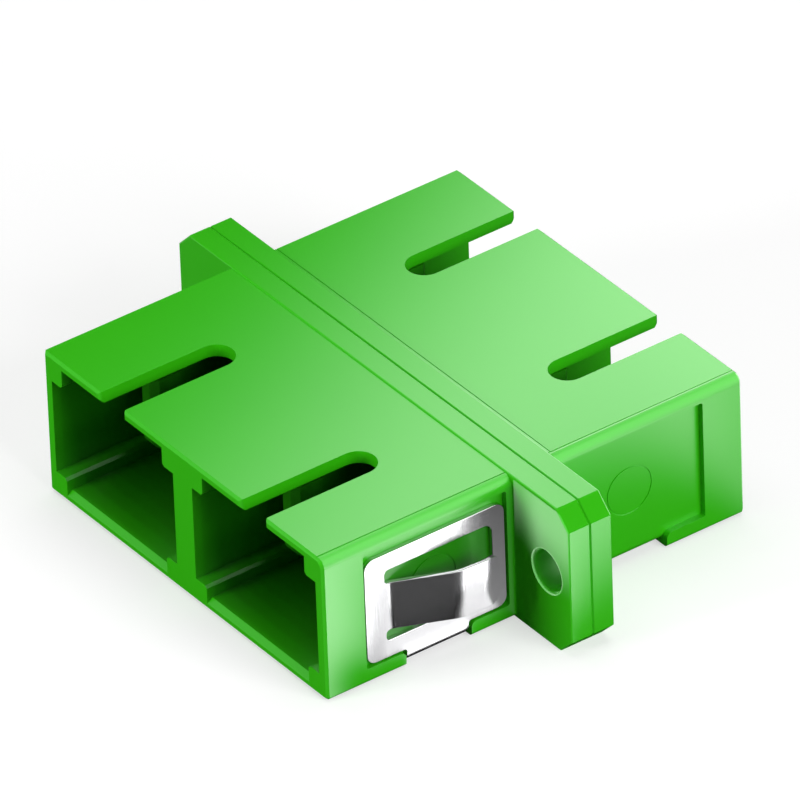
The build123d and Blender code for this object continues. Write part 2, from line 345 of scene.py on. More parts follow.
# %% The clip's two bent paths
PLATE_X, PLATE_HIGH = 12.12, 7.65
STRAP_Z, STRAP_BEND = 0.4, 0.5
WINDOW_FAR = 9.7
TONGUE_ROOT, TONGUE_TIP = (9.3, 0.0), (3.35, 1.37)
TONGUE_CREST_FAR, TONGUE_CREST_NEAR = (5.9, 1.5), (4.2, 1.62)
TONGUE_BENDS = [0.0, 1.0, 2.0, 1.5, 0.0]

section = rounded_path([(0.0, STRAP_Z), (PLATE_X, STRAP_Z), (PLATE_X, PLATE_HIGH)],
                       [0.0, STRAP_BEND, 0.0])
tongue_view = rounded_path(
    [(WINDOW_FAR, 0.0), TONGUE_ROOT, TONGUE_CREST_FAR, TONGUE_CREST_NEAR, TONGUE_TIP], TONGUE_BENDS)
section_length = distances(section)[-1]
tongue_length = distances(tongue_view)[-1]
print("blank:", round(2 * section_length, 2), "mm long, tongue", round(tongue_length, 2), "mm long")

# %% [markdown]
# The blank's edge runs round both plates and along the strap between them. Each
# slot leaves its tongue standing: it runs round the window, with two short arms
# past the tongue's root that let the spring flex. Both outlines could be drawn
# by hand on the flat. Here they come from heights on the finished plate, each
# carried back to the blank, so they stay right when a bend changes.

# %% The outlines of the blank and its slots
PLATE_LOW, PLATE_NEAR, PLATE_FAR, PLATE_CORNER = 1.1, 1.9, 11.0, 0.6
STRAP_NEAR, STRAP_FAR, STRAP_FOLD = 4.4, 8.45, 0.18
WINDOW_LOW, WINDOW_HIGH, WINDOW_NEAR, WINDOW_CORNER = 2.15, 6.6, 2.75, 0.5
TONGUE_LOW, TONGUE_HIGH, TONGUE_CORNER, SLOT_END = 2.8, 5.75, 0.65, 0.25


def on_blank(height):
    """How far from the blank's middle a height on the side plate lies: back from the far end."""
    return section_length - (PLATE_HIGH - height)


plate_foot, plate_top = on_blank(PLATE_LOW), on_blank(PLATE_HIGH)
right_side = [(plate_foot, STRAP_NEAR), (plate_foot, PLATE_NEAR), (plate_top, PLATE_NEAR),
              (plate_top, PLATE_FAR), (plate_foot, PLATE_FAR), (plate_foot, STRAP_FAR)]
left_side = [(-across, along) for across, along in reversed(right_side)]
side_radii = [STRAP_FOLD, PLATE_CORNER, PLATE_CORNER, PLATE_CORNER, PLATE_CORNER, STRAP_FOLD]
blank_edge = rounded_path(right_side + left_side, side_radii + side_radii)

tongue_end = WINDOW_FAR - tongue_length
slot_edge = rounded_path(
    [(on_blank(WINDOW_LOW), WINDOW_FAR), (on_blank(WINDOW_LOW), WINDOW_NEAR),
     (on_blank(WINDOW_HIGH), WINDOW_NEAR), (on_blank(WINDOW_HIGH), WINDOW_FAR),
     (on_blank(TONGUE_HIGH), WINDOW_FAR), (on_blank(TONGUE_HIGH), tongue_end),
     (on_blank(TONGUE_LOW), tongue_end), (on_blank(TONGUE_LOW), WINDOW_FAR)],
    [SLOT_END, WINDOW_CORNER, WINDOW_CORNER, SLOT_END, SLOT_END, TONGUE_CORNER, TONGUE_CORNER, SLOT_END])
mirrored_slot = slot_edge * np.array([-1.0, 1.0])
print("points on the blank's edge:", len(blank_edge), "and on a slot's:", len(slot_edge))

# %% [markdown]
# The outlines become a flat, filled sheet. It is cut across wherever a path
# turns, because a sheet only bends along lines that its mesh has.

# %% Fill and cut the blank
CUT_REACH = 1e-5


def closed_edges(loops):
    """The edges of closed outlines: each point to the next of its own loop, the last to the first."""
    counts = [len(loop) for loop in loops]
    starts = np.cumsum([0] + counts[:-1])
    return np.concatenate([start + np.column_stack([np.arange(count), np.roll(np.arange(count), -1)])
                           for start, count in zip(starts, counts)])


def flat_blank(loops, cuts_across, cuts_along):
    """A flat sheet between closed outlines, facing up and cut along the bend lines."""
    outline = np.concatenate(loops)
    wires = bpy.data.meshes.new("wires")
    wires.from_pydata(np.column_stack([outline, np.zeros(len(outline))]).tolist(),
                      closed_edges(loops).tolist(), [])
    build = bmesh.new()
    build.from_mesh(wires)
    bpy.data.meshes.remove(wires)
    bmesh.ops.triangle_fill(build, use_beauty=True, edges=build.edges[:], normal=(0.0, 0.0, 1.0))
    cuts = [((across, 0.0, 0.0), (1.0, 0.0, 0.0)) for across in cuts_across]
    cuts += [((0.0, along, 0.0), (0.0, 1.0, 0.0)) for along in cuts_along]
    for place, normal in cuts:
        everything = build.verts[:] + build.edges[:] + build.faces[:]
        bmesh.ops.bisect_plane(build, geom=everything, dist=CUT_REACH, plane_co=place, plane_no=normal)
    build.normal_update()
    bmesh.ops.reverse_faces(build, faces=[face for face in build.faces if face.normal.z < 0])
    return build


bends_across = distances(section)[1:-1]
bends_along = WINDOW_FAR - distances(tongue_view)[1:-1]
clip_build = flat_blank([blank_edge, slot_edge, mirrored_slot],
                        np.concatenate([bends_across, -bends_across]), bends_along)
clip_mesh = bpy.data.meshes.new("spring_clip")
clip_build.to_mesh(clip_mesh)
clip_build.free()
print("flat blank:", len(clip_mesh.polygons), "faces")

# %% [markdown]
# Folding moves the blank's points and makes none. An armature or a bend modifier
# could do it, but they stretch the sheet a little. A walk along the bent paths
# keeps every length. The flat place of each point is kept as an attribute,
# because the steel's streaks follow it.

# %% Fold the blank
TONGUE_MARGIN = 0.01


def folded(across, along):
    """Carries the blank's points to their folded places, in millimetres.

    The distance from the blank's middle is walked along the clip's section,
    which gives X and Z, and the other coordinate becomes minus Y. A point of a
    tongue also walks along the tongue's own path from its root, which gives its
    Y and how far it stands out from the plate.
    """
    from_middle = np.abs(across)
    x, z = carry(section, from_middle).T
    on_tongue = ((from_middle > on_blank(TONGUE_LOW) - TONGUE_MARGIN)
                 & (from_middle < on_blank(TONGUE_HIGH) + TONGUE_MARGIN)
                 & (along > tongue_end - TONGUE_MARGIN) & (along < WINDOW_FAR))
    bent_along, out = carry(tongue_view, WINDOW_FAR - along).T
    y = -np.where(on_tongue, bent_along, along)
    x = x + np.where(on_tongue, out, 0.0)
    return np.column_stack([np.sign(across) * x, y, z])


flat_places = np.empty(len(clip_mesh.vertices) * 3)
clip_mesh.vertices.foreach_get("co", flat_places)
flat_places = flat_places.reshape(-1, 3)
folded_places = folded(flat_places[:, 0], flat_places[:, 1])
clip_mesh.vertices.foreach_set("co", (folded_places * MM).ravel())
clip_mesh.attributes.new("blank", "FLOAT_VECTOR", "POINT").data.foreach_set("vector", flat_places.ravel())
print("folded clip is", np.round(np.ptp(folded_places, axis=0), 2), "mm over its inner faces")

# %% [markdown]
# Triangles in one plane are joined again, and the sheet gets its thickness. The
# real clip's edges are sheared and then tumbled, which breaks their sharpness. A
# tiny bevel does that here, after the thickness, so that it finds both edges.

# %% Thicken the clip and break its edges
CLIP_SHEET = 0.3 * MM
CLIP_EDGE = 0.04 * MM
CLIP_SHARP = math.radians(35.0)

clip_build = bmesh.new()
clip_build.from_mesh(clip_mesh)
bmesh.ops.dissolve_limit(clip_build, angle_limit=FLAT_ANGLE, verts=clip_build.verts, edges=clip_build.edges)
clip_build.to_mesh(clip_mesh)
clip_build.free()
clip_mesh.shade_smooth()
clip_mesh.set_sharp_from_angle(angle=CLIP_SHARP)
spring_clip = bpy.data.objects.new("spring_clip", clip_mesh)
scene.collection.objects.link(spring_clip)

thickness = spring_clip.modifiers.new("sheet", "SOLIDIFY")
thickness.thickness = CLIP_SHEET
thickness.offset = 1.0
thickness.use_even_offset = True
rounding = spring_clip.modifiers.new("rounding", "BEVEL")
rounding.width = CLIP_EDGE
rounding.segments = EDGE_STEPS
rounding.limit_method = "ANGLE"
rounding.angle_limit = CLIP_SHARP
rounding.use_clamp_overlap = False
even_shading(spring_clip)
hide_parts("panel_clip")
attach(spring_clip, "root")
print("clip faces:", len(clip_mesh.polygons))

# %% [markdown]
# ## Moulded green plastic
# The mouldings are a saturated green, satin rather than glossy. The mould was
# lightly spark-eroded, so the surface has a very fine grain. Colour drifts a
# little across a moulding, as it does where the melt cooled at different
# speeds. A painted map could show both, but noise on the piece's own
# coordinates has no seams and needs no unwrapping. The latches are the same
# plastic without the mould's polish.

# %% Green plastic
GREEN = (0.033, 0.46, 0.004, 1.0)
GREEN_DEEP = (0.027, 0.42, 0.003, 1.0)
PLASTIC_IOR = 1.5
DRIFT_SCALE = 90.0
GRAIN_SCALE, GRAIN_DETAIL, GRAIN_STRENGTH = 9000.0, 3.0, 0.12
SATIN_ROUGHNESS, SATIN_COAT, SATIN_COAT_ROUGHNESS = 0.36, 0.5, 0.3
LATCH_ROUGHNESS = 0.5
LATCHES = ("front_left_latch", "front_right_latch", "rear_left_latch", "rear_right_latch")


def moulded_green(name, **shine):
    """Green plastic: slow drift in colour, and a fine eroded grain as relief."""
    material, tree, shader = new_finish(name, IOR=PLASTIC_IOR, **shine)
    place = add_node(tree, "ShaderNodeTexCoord").outputs["Object"]
    colour_between(tree, shader, noise(tree, place, DRIFT_SCALE), GREEN_DEEP, GREEN)
    relief(tree, shader, noise(tree, place, GRAIN_SCALE, GRAIN_DETAIL), GRAIN_STRENGTH)
    return material


green = moulded_green("moulded_green", Roughness=SATIN_ROUGHNESS, Coat_Weight=SATIN_COAT,
                      Coat_Roughness=SATIN_COAT_ROUGHNESS)
latch_green = moulded_green("latch_green", Roughness=LATCH_ROUGHNESS)
dress(front_moulding, green)
dress(rear_moulding, green)
for latch in LATCHES:
    dress(nodes[latch], latch_green)
print("green pieces dressed:", 2 + len(LATCHES))

# %% [markdown]
# ## Rolled spring steel
# Spring strip leaves the rolling mill bright, with fine streaks along the way
# that it was rolled, and faint clouds where it was cleaned. A brushed map could
# be painted, but noise that is stretched along the sheet does the same. It
# reads the place on the flat blank, which every point of the clip keeps, so the
# streaks run round each bend as they do on the real clip.

# %% Spring steel
STEEL_PALE = (0.64, 0.64, 0.65, 1.0)
STEEL_DULL = (0.56, 0.56, 0.57, 1.0)
STREAK_STRETCH = (0.35, 14.0, 1.0)
STREAK_SCALE, STREAK_DETAIL, STREAK_ROUGHNESS = 1.0, 4.0, 0.6
STREAK_LOW, STREAK_HIGH, STREAK_STRENGTH = 0.3, 0.7, 0.25
CLOUD_SCALE, CLOUD_DETAIL = 1.3, 3.0
STEEL_SMOOTHEST, STEEL_DULLEST = 0.17, 0.27


def rolled_steel(name):
    """Bright metal with long streaks along the blank and soft clouds."""
    material, tree, shader = new_finish(name, Metallic=1.0)
    place = add_node(tree, "ShaderNodeAttribute", attribute_name="blank").outputs["Vector"]
    stretched = add_node(tree, "ShaderNodeMapping", {"Vector": place, "Scale": STREAK_STRETCH})
    streaks = noise(tree, stretched.outputs["Vector"], STREAK_SCALE, STREAK_DETAIL, STREAK_ROUGHNESS)
    colour_between(tree, shader, noise(tree, place, CLOUD_SCALE, CLOUD_DETAIL), STEEL_DULL, STEEL_PALE)
    dullness = ranged(tree, streaks, STEEL_SMOOTHEST, STEEL_DULLEST, STREAK_LOW, STREAK_HIGH)
    tree.links.new(dullness, shader.inputs["Roughness"])
    relief(tree, shader, streaks, STREAK_STRENGTH)
    return material


dress(spring_clip, rolled_steel("rolled_steel"))
print("clip dressed in steel")

# %% [markdown]
# ## Ground ceramic
# The sleeves are split tubes of zirconia. They are fired white and then ground
# to size, which leaves fine rings round the tube and a soft, even shine. They
# sit deep in the ports, so real grooves would be wasted on them, and a noise
# that is squeezed along the tube is all that they need.

# %% Ceramic
CERAMIC_WHITE = (0.82, 0.81, 0.77, 1.0)
CERAMIC_CREAM = (0.78, 0.76, 0.70, 1.0)
CERAMIC_IOR = 1.9
PATCH_SCALE = 500.0
GRIND_SQUEEZE = (300.0, 12000.0, 300.0)
GRIND_SCALE, GRIND_DETAIL, GRIND_RELIEF = 1.0, 3.0, 0.15
CERAMIC_SMOOTHEST, CERAMIC_DULLEST = 0.18, 0.38


def ground_ceramic(name):
    """White ceramic, a little warmer in patches, with fine grinding rings along Y."""
    material, tree, shader = new_finish(name, IOR=CERAMIC_IOR)
    place = add_node(tree, "ShaderNodeTexCoord").outputs["Object"]
    squeezed = add_node(tree, "ShaderNodeMapping", {"Vector": place, "Scale": GRIND_SQUEEZE})
    rings = noise(tree, squeezed.outputs["Vector"], GRIND_SCALE, GRIND_DETAIL)
    colour_between(tree, shader, noise(tree, place, PATCH_SCALE), CERAMIC_WHITE, CERAMIC_CREAM)
    tree.links.new(ranged(tree, rings, CERAMIC_SMOOTHEST, CERAMIC_DULLEST), shader.inputs["Roughness"])
    relief(tree, shader, rings, GRIND_RELIEF)
    return material


ceramic = ground_ceramic("ground_ceramic")
dress(nodes["left_sleeve"], ceramic)
dress(nodes["right_sleeve"], ceramic)
print("sleeves dressed in ceramic")

# %% [markdown]
# ## The floor
# The object stands on a white sweep. Were it truly white, it would throw its
# light up into the green walls and wash them out. So soft light meets a grey
# floor, and only the camera, or a mirror, sees it pale. It keeps the object's
# shadow, because the pale look is half colour and half glow.

# %% Lay the floor
FLOOR_REACH = 600.0
FLOOR_ROUGHNESS = 0.9
FLOOR_WHITE = 0.30
FLOOR_SEEN_WHITE = 0.50
FLOOR_SEEN_GLOW = 0.54


def seen_directly(tree):
    """One for what the camera sees, straight or in metal or glass, and nought for soft light."""
    path = add_node(tree, "ShaderNodeLightPath")
    either = add_node(tree, "ShaderNodeMath", operation="MAXIMUM")
    tree.links.new(path.outputs["Is Camera Ray"], either.inputs[0])
    tree.links.new(path.outputs["Is Glossy Ray"], either.inputs[1])
    any_of_them = add_node(tree, "ShaderNodeMath", operation="MAXIMUM")
    tree.links.new(either.outputs["Value"], any_of_them.inputs[0])
    tree.links.new(path.outputs["Is Transmission Ray"], any_of_them.inputs[1])
    return any_of_them.outputs["Value"]


def stage_sheet(name, corners_mm):
    """A flat staging sheet with these four corners, in millimetres."""
    mesh = bpy.data.meshes.new(name)
    mesh.from_pydata((np.array(corners_mm) * MM).tolist(), [], [(0, 1, 2, 3)])
    sheet = bpy.data.objects.new(name, mesh)
    scene.collection.objects.link(sheet)
    return sheet


floor = stage_sheet("floor", [
    (-FLOOR_REACH, -FLOOR_REACH, 0), (FLOOR_REACH, -FLOOR_REACH, 0),
    (FLOOR_REACH, FLOOR_REACH, 0), (-FLOOR_REACH, FLOOR_REACH, 0)])
floor_finish, floor_tree, floor_shader = new_finish(
    "white_sweep", Roughness=FLOOR_ROUGHNESS, Specular_IOR_Level=0.0, Emission_Color=WHITE)
floor_seen = seen_directly(floor_tree)
floor_tree.links.new(ranged(floor_tree, floor_seen, FLOOR_WHITE, FLOOR_SEEN_WHITE),
                     floor_shader.inputs["Base Color"])
floor_tree.links.new(ranged(floor_tree, floor_seen, 0.0, FLOOR_SEEN_GLOW),
                     floor_shader.inputs["Emission Strength"])
floor_finish.cycles.emission_sampling = "NONE"
dress(floor, floor_finish)
floor.visible_glossy = False
print("floor laid,", round(2 * FLOOR_REACH), "mm wide")

# %% [markdown]
# ## Boards that only the gloss sees
# Satin surfaces show pale veils where they mirror something bright, and stay
# deep green where they mirror something dark. A photographer places those
# reflections with boards. Lamps could do it too, but each would change the soft
# light as well. A board here is a grid of points with a glow at each, and only
# glossy reflections see it, so it adds no light of its own.

# %% Helpers for boards
UNSEEN_BY = ("camera", "diffuse", "transmission", "volume_scatter", "shadow")


def glow_finish(name, strength, one_sided=False):
    """A glowing finish whose strength follows the mesh attribute called glow.

    A one-sided board is clear when it is looked at from behind.
    """
    material, tree, shader = new_finish(
        name, Base_Color=BLACK, Specular_IOR_Level=0.0, Emission_Color=WHITE)
    glow = add_node(tree, "ShaderNodeAttribute", attribute_name="glow")
    scaled = add_node(tree, "ShaderNodeMath", operation="MULTIPLY")
    tree.links.new(glow.outputs["Fac"], scaled.inputs[0])
    scaled.inputs[1].default_value = strength
    tree.links.new(scaled.outputs["Value"], shader.inputs["Emission Strength"])
    material.cycles.emission_sampling = "NONE"
    if one_sided:
        facing = add_node(tree, "ShaderNodeNewGeometry")
        tree.links.new(ranged(tree, facing.outputs["Backfacing"], 1.0, 0.0), shader.inputs["Alpha"])
    return material


def grid_board(name, points, glow, material):
    """A staging board from a grid of points, with one glow value at each point."""
    rows, columns = points.shape[:2]
    index = np.arange(rows * columns).reshape(rows, columns)
    quads = np.stack([index[:-1, :-1], index[:-1, 1:], index[1:, 1:], index[1:, :-1]], axis=-1)
    mesh = bpy.data.meshes.new(name)
    mesh.from_pydata(points.reshape(-1, 3).tolist(), [], quads.reshape(-1, 4).tolist())
    mesh.attributes.new("glow", "FLOAT", "POINT").data.foreach_set("value", glow.ravel())
    board = bpy.data.objects.new(name, mesh)
    scene.collection.objects.link(board)
    dress(board, material)
    for kind in UNSEEN_BY:
        setattr(board, f"visible_{kind}", False)
    print(name, "has", rows * columns, "points")


def smooth(value, low, high):
    """Nought below low, one above high, and an S curve between: 3 t squared less 2 t cubed."""
    t = np.clip((value - low) / (high - low), 0.0, 1.0)
    return t * t * (3.0 - 2.0 * t)


print("boards are unseen by", ", ".join(UNSEEN_BY))

# %% [markdown]
# The roof mirrors one direction, up and to the left. A board hangs square to it,
# close above the roof, so that each part of the roof sees its own part of the
# board. It fades from black over the front left corner to white over the rear
# right one, and is dimmed over the end of the right ear.

# %% The board above the roof
ROOF_MIRROR = np.array([-0.673, 0.474, 0.568])
ROOF_FADE = np.array([0.740, 0.454, 0.497])
ROOF_POINT = np.array([3.0, 3.0, 9.0]) * MM
ROOF_BOARD_AWAY = 34.0 * MM
ROOF_BOARD_REACH, ROOF_BOARD_COLUMNS, ROOF_BOARD_ROWS = 60.0, 241, 121
ROOF_BOARD_STRENGTH = 3.75
FADE_FROM, FADE_TO = -13.5, 6.0
EAR_DIM, EAR_DIM_ALONG, EAR_DIM_ASIDE = 0.55, (6.0, 8.5), (1.5, 4.5)

along_fade, aside_fade = np.meshgrid(
    np.linspace(-ROOF_BOARD_REACH, ROOF_BOARD_REACH, ROOF_BOARD_COLUMNS),
    np.linspace(-ROOF_BOARD_REACH, ROOF_BOARD_REACH, ROOF_BOARD_ROWS))
aside_way = np.cross(ROOF_MIRROR, ROOF_FADE)
roof_board_points = (ROOF_POINT + ROOF_MIRROR * ROOF_BOARD_AWAY
                     + along_fade[..., None] * MM * ROOF_FADE + aside_fade[..., None] * MM * aside_way)
over_ear = smooth(along_fade, *EAR_DIM_ALONG) * (1.0 - smooth(aside_fade, *EAR_DIM_ASIDE))
grid_board("roof_board", roof_board_points,
           smooth(along_fade, FADE_FROM, FADE_TO) * (1.0 - EAR_DIM * over_ear),
           glow_finish("roof_board_glow", ROOF_BOARD_STRENGTH))

# %% [markdown]
# The upright walls mirror the room at and below the table's level. One board for
# each wall would leave gaps at the rounded edges between them, so a single ring
# round the object serves them all. It is bright behind the object on the right
# and dark in front. On the left and near sides it is softly lit, so that the
# steel isn't black when it is seen from there. Above the horizon it is dimmer,
# because the rounded upper edges look up into it.

# %% The ring round the object
RING_DISTANCE = 220.0 * MM
RING_LEVELS = np.linspace(-330.0, 410.0, 149) * MM
RING_DEGREES = np.linspace(-180.0, 180.0, 361)
TABLE_STRENGTH, HORIZON_STRENGTH, SKY_STRENGTH = 6.5, 3.8, 3.5
HORIZON_LEVELS = (-70.0 * MM, -30.0 * MM)
SKY_LEVELS = (60.0 * MM, 150.0 * MM)
BRIGHT_RISES, BRIGHT_FALLS = (8.0, 22.0), (105.0, 140.0)
DIM_GLOW, DIM_RISES = 0.09, (-80.0, -60.0)
LEFT_GLOW, LEFT_RISES, LEFT_FALLS = 1.1, (105.0, 150.0), (-179.0, -163.0)
NEAR_GLOW, NEAR_LEVELS = 0.6, (-100.0 * MM, -50.0 * MM)


def ring_glow(degrees, level):
    """The ring's glow by the angle round it and the level: the brightest of four parts.

    The bright part goes from the table's strength to the horizon's and then to
    the sky's as the level rises. The others are a faint glow in front, up to
    where the bright part is full, one on the left, and one on the near side
    above the table.
    """
    sky = HORIZON_STRENGTH + (SKY_STRENGTH - HORIZON_STRENGTH) * smooth(level, *SKY_LEVELS)
    above = smooth(level, *HORIZON_LEVELS)
    sector = smooth(degrees, *BRIGHT_RISES) * (1.0 - smooth(degrees, *BRIGHT_FALLS))
    bright = sector * (TABLE_STRENGTH * (1.0 - above) + above * sky)
    faint = DIM_GLOW * smooth(degrees, *DIM_RISES) * (degrees < BRIGHT_RISES[1])
    left = LEFT_GLOW * (smooth(degrees, *LEFT_RISES) + 1.0 - smooth(degrees, *LEFT_FALLS))
    near = NEAR_GLOW * (degrees < DIM_RISES[0]) * smooth(level, *NEAR_LEVELS)
    return np.maximum.reduce([bright, faint, left, near])


ring_degrees, ring_level = np.meshgrid(RING_DEGREES, RING_LEVELS)
ring_turn = np.radians(ring_degrees)
ring_points = np.stack([RING_DISTANCE * np.cos(ring_turn), RING_DISTANCE * np.sin(ring_turn),
                        ring_level], axis=-1)
grid_board("low_ring", ring_points, ring_glow(ring_degrees, ring_level), glow_finish("low_ring_glow", 1.0))

# %% [markdown]
# The front face of the right ear faces the table in front, which is dark, but the photograph shows a veil that
# is strong at the top and outer side. A flat board in the room can't light one small face alone, so a glowing
# card lies almost on it: it covers what the face would mirror, and clears when seen from behind. Its glow is a
# painted reflection on that face.

# %% The card before the right ear, a painted reflection
EAR_X = (12.6, 17.4)
EAR_Z = (0.2, 8.9)
EAR_CARD_Y, EAR_CARD_COLUMNS, EAR_CARD_ROWS = -1.45, 3, 9
EAR_CARD_GLOWS = (0.35, 0.12)


def upright_grid(x_line, y, z_line):
    """The X and Z of a grid in a plane across Y, and its points in metres."""
    x, z = np.meshgrid(x_line, z_line)
    return x, z, np.stack([x, np.full_like(x, y), z], axis=-1) * MM


card_x, card_z, card_points = upright_grid(
    np.linspace(*EAR_X, EAR_CARD_COLUMNS), EAR_CARD_Y, np.linspace(*EAR_Z, EAR_CARD_ROWS))
# The card's glow, brighter low down than at the top, is a painted reflection lying on the ear's face.
grid_board("ear_card", card_points, np.interp(card_z, EAR_Z, EAR_CARD_GLOWS),
           glow_finish("ear_card_painted_reflection", 1.0, one_sided=True))

# %% [markdown]
# A second card, between the first one and the ear, holds what changes from spot to spot: a painted reflection
# for the veil itself, and a painted highlight for the thin bright rim round the screw hole's bevel. It needs a
# fine grid, because the rim is a tenth of a millimetre wide.

# %% The painted veil on the right ear, with the painted bright rim of its hole
VEIL_Y, VEIL_COLUMNS, VEIL_ROWS, VEIL_STRENGTH = -1.42, 121, 219, 2.0
VEIL_RISES, VEIL_OUTWARD = (3.4, 7.8), (13.0, 15.0)
VEIL_INNER_SHARE, VEIL_INNER_LIFT = 0.6, 1.6
HOLE_X, HOLE_Z = 15.35, 4.55
# The rim's glow is a painted highlight round the hole.
RIM_RADIUS, RIM_HALF, RIM_PAINTED_HIGHLIGHT = 1.28, 0.09, 3.6


def veil_glow(x, z):
    """The veil's glow: it rises with the height, later and less near the body.

    The hole's rim is a painted highlight, a thin ring: full at its radius, and gone over an S curve to either
    side. The veil is a painted reflection. The brighter of the two shows.
    """
    outward = smooth(x, *VEIL_OUTWARD)
    lift = smooth(z - VEIL_INNER_LIFT * (1.0 - outward), *VEIL_RISES)
    veil = VEIL_STRENGTH * lift * (VEIL_INNER_SHARE + (1.0 - VEIL_INNER_SHARE) * outward)
    off_rim = np.abs(np.hypot(x - HOLE_X, z - HOLE_Z) - RIM_RADIUS)
    return np.maximum(veil, RIM_PAINTED_HIGHLIGHT * (1.0 - smooth(off_rim, RIM_HALF / 2, RIM_HALF)))


veil_x, veil_z, veil_points = upright_grid(
    np.linspace(EAR_X[1], EAR_X[0], VEIL_COLUMNS), VEIL_Y, np.linspace(*EAR_Z, VEIL_ROWS))
# This card's glow is painted reflection for the veil and painted highlight for the hole's rim, lying on the
# ear's face.
grid_board("ear_painted_veil_card", veil_points, veil_glow(veil_x, veil_z),
           glow_finish("ear_painted_veil_glow", 1.0, one_sided=True))

# %% [markdown]
# Two places stay free of any veil in the photograph: the right ear's cut corner, and the port walls that show
# through the rear keyways. Dimming the ring for them would dim the rounded edges too. So a black card lies
# over the cut corner, and another closes the rear mouths, through which those walls would mirror the bright
# side of the ring. Both are painted shade: black sheets, seen by gloss alone, that take the veil off these
# surfaces.

# %% Black cards of painted shade at the cut corner and the rear mouths
CUT_CARD_X, CUT_CARD_Z, CUT_CARD_Y = (16.46, 17.65), (9.35, 8.16), (-1.5, 1.75)
MOUTH_CARD_X, MOUTH_CARD_Z, MOUTH_CARD_Y = (-12.0, 12.0), (0.2, 8.95), 13.78

cut_x, cut_y = np.meshgrid(CUT_CARD_X, CUT_CARD_Y)
cut_z = np.interp(cut_x, CUT_CARD_X, CUT_CARD_Z)
cut_points = np.stack([cut_x, cut_y, cut_z], axis=-1) * MM
# Black card over the cut corner: painted shade in its reflection.
grid_board("cut_card", cut_points, np.zeros_like(cut_x), glow_finish("cut_card_painted_shade", 1.0))
# Black card across the rear mouths: painted shade in the port walls' reflections.
mouth_x, mouth_z, mouth_points = upright_grid(MOUTH_CARD_X, MOUTH_CARD_Y, MOUTH_CARD_Z)
grid_board("mouth_card", mouth_points, np.zeros_like(mouth_x), glow_finish("mouth_card_painted_shade", 1.0))

# %% [markdown]
# ## Shade round the object's foot
# A side wall mirrors the table beside it: the lower the point, the nearer the
# spot that it mirrors. Shade near the foot so keeps the lower wall free of
# veil. This sheet is that shade, seen by gloss alone. Each of its spots is
# worked back to the wall point that mirrors it, and gets the darkness that
# this wall point should see. First come the parts of the wall.

# %% Darkness that each part of the side wall should see
CLIP_Y, CLIP_HEIGHT, CLIP_SHADE = (-11.05, 0.0), (1.0, 7.7), 0.77
FRONT_LOW, FRONT_CORNER_Y = (0.8, 4.2), (-16.0, -11.5)
FRONT_INWARD, FRONT_INWARD_Y = 0.33, (-13.4, -11.5)
FAR_STRIP_Y, FAR_STRIP_SHADE = (-11.05, -9.8), 0.07
NEAR_STRIP_Y, NEAR_STRIP_SHADE = (-2.75, 0.0), 0.1
GLINT_Y, GLINT_HEIGHT, GLINT_SHADE = (-4.9, -2.8), (5.4, 6.35), 0.2
FOOT_STRAP_Y, STRAP_SHADE, LIP_HEIGHT = (-8.5, -4.4), 0.6, (0.9, 1.1)
FINE_SOFT, PLATE_SOFT = 0.1, 0.15
REAR_SHADE, REAR_EDGE_MORE, REAR_EDGE_Y = 0.46, 0.3, (12.4, 13.2)
REAR_MIDDLE, REAR_REACH, REAR_THINS = (9.0, 2.5), (14.0, 12.5), (0.78, 1.35)


def band(value, low, high, soft):
    """One between low and high, and nought outside, over soft edges."""
    return smooth(value, low - soft, low + soft) * (1.0 - smooth(value, high - soft, high + soft))


def before_clip(height, wall_y):
    """Dark low down, and a little towards the clip: one less the product of what both let through."""
    low_down = (1.0 - smooth(height, *FRONT_LOW)) * smooth(wall_y, *FRONT_CORNER_Y)
    inward = FRONT_INWARD * smooth(wall_y, *FRONT_INWARD_Y)
    return 1.0 - (1.0 - low_down) * (1.0 - inward)


def on_clip(height, wall_y):
    """The clip is dimmed evenly, and its two end strips and the window's inner end a little more.

    Below the plate the strap is dimmed by itself, and the green lips beside it
    see only dark.
    """
    strips = (FAR_STRIP_SHADE * band(wall_y, *FAR_STRIP_Y, FINE_SOFT)
              + NEAR_STRIP_SHADE * band(wall_y, *NEAR_STRIP_Y, FINE_SOFT))
    glint = (GLINT_SHADE * band(wall_y, *GLINT_Y, FINE_SOFT)
             * band(height, *GLINT_HEIGHT, FINE_SOFT))
    on_plate = band(wall_y, *CLIP_Y, FINE_SOFT) * band(height, *CLIP_HEIGHT, PLATE_SOFT)
    plate = (CLIP_SHADE + strips + glint) * on_plate
    beside_strap = 1.0 - band(wall_y, *FOOT_STRAP_Y, FINE_SOFT)
    strap = STRAP_SHADE * (1.0 - beside_strap) * (height < CLIP_HEIGHT[0])
    lip = (1.0 - smooth(height, *LIP_HEIGHT)) * (wall_y > CLIP_Y[0]) * beside_strap
    return np.maximum.reduce([plate, lip, strap])


def behind_ear(x, y, wall_y):
    """A rounded rectangle of shade that thins outwards, and a darker strip at the wall's end.

    The rectangle is the fourth root of the sum of the fourth powers of both
    distances from its middle, each as a share of its reach.
    """
    away = (((x - REAR_MIDDLE[0]) / REAR_REACH[0]) ** 4 + ((y - REAR_MIDDLE[1]) / REAR_REACH[1]) ** 4) ** 0.25
    thinning = REAR_SHADE + (1.0 - REAR_SHADE) * (1.0 - smooth(away, *REAR_THINS))
    return np.maximum(thinning, (REAR_SHADE + REAR_EDGE_MORE) * smooth(wall_y, *REAR_EDGE_Y))


print("the clip sees", CLIP_SHADE, "of full dark, the wall behind the ear", REAR_SHADE)

# %% [markdown]
# Then comes the sheet. A ray that the camera sees leaves the wall at some height
# and comes down to the table further to the right and further to the rear, both
# in a fixed proportion to that height. The grid is fine only where the wall's
# parts need it.

